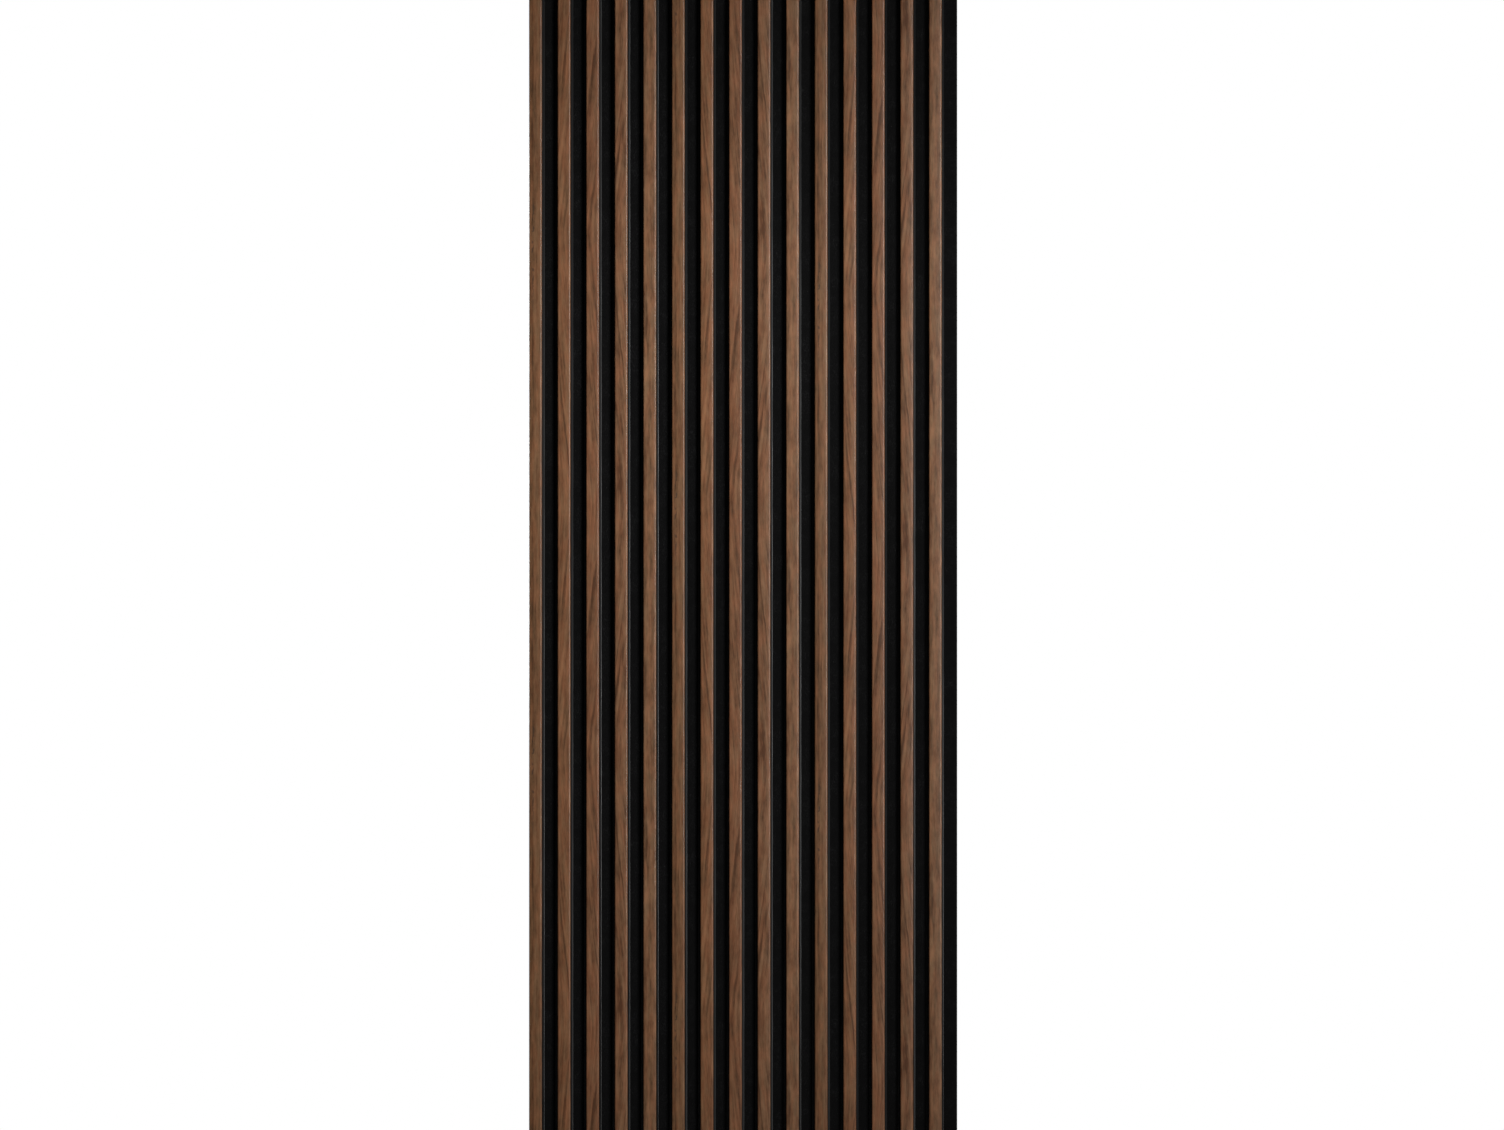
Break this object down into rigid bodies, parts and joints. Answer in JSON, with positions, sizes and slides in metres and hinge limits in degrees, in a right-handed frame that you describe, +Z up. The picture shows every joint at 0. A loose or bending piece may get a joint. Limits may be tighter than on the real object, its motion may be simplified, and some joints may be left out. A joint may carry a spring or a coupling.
{
  "type": "slat wall panel",
  "caption": "Flat wall panel of upright round-edged wood-look slats at an even pitch on a black felt board, for lining walls.",
  "frame": {"origin": "middle of the back of the felt board, on the wall, half-way up the panel", "axes": "+Z up along the slats, +X to the right seen from the room, +Y into the wall, so the slats face -Y"},
  "size_m": [0.6, 0.021, 2.4],
  "materials": {
    "felt": "matt black needled polyester felt",
    "fibreboard": "matt sawn black-dyed fibreboard",
    "walnut_decor": "satin lacquered walnut-look decor",
    "adhesive": "glossy black hot-melt adhesive",
    "staple_wire": "bright galvanised wire"
  },
  "bodies": {
    "root": {"felt_backing": "felt", "glue_lines": "adhesive", "back_staples": "staple_wire", "slat_core_01": "fibreboard", "slat_core_02": "fibreboard", "slat_core_03": "fibreboard", "slat_core_04": "fibreboard", "slat_core_05": "fibreboard", "slat_core_06": "fibreboard", "slat_core_07": "fibreboard", "slat_core_08": "fibreboard", "slat_core_09": "fibreboard", "slat_core_10": "fibreboard", "slat_core_11": "fibreboard", "slat_core_12": "fibreboard", "slat_core_13": "fibreboard", "slat_core_14": "fibreboard", "slat_core_15": "fibreboard", "slat_face_01": "walnut_decor", "slat_face_02": "walnut_decor", "slat_face_03": "walnut_decor", "slat_face_04": "walnut_decor", "slat_face_05": "walnut_decor", "slat_face_06": "walnut_decor", "slat_face_07": "walnut_decor", "slat_face_08": "walnut_decor", "slat_face_09": "walnut_decor", "slat_face_10": "walnut_decor", "slat_face_11": "walnut_decor", "slat_face_12": "walnut_decor", "slat_face_13": "walnut_decor", "slat_face_14": "walnut_decor", "slat_face_15": "walnut_decor"}
  },
  "joints": []
}
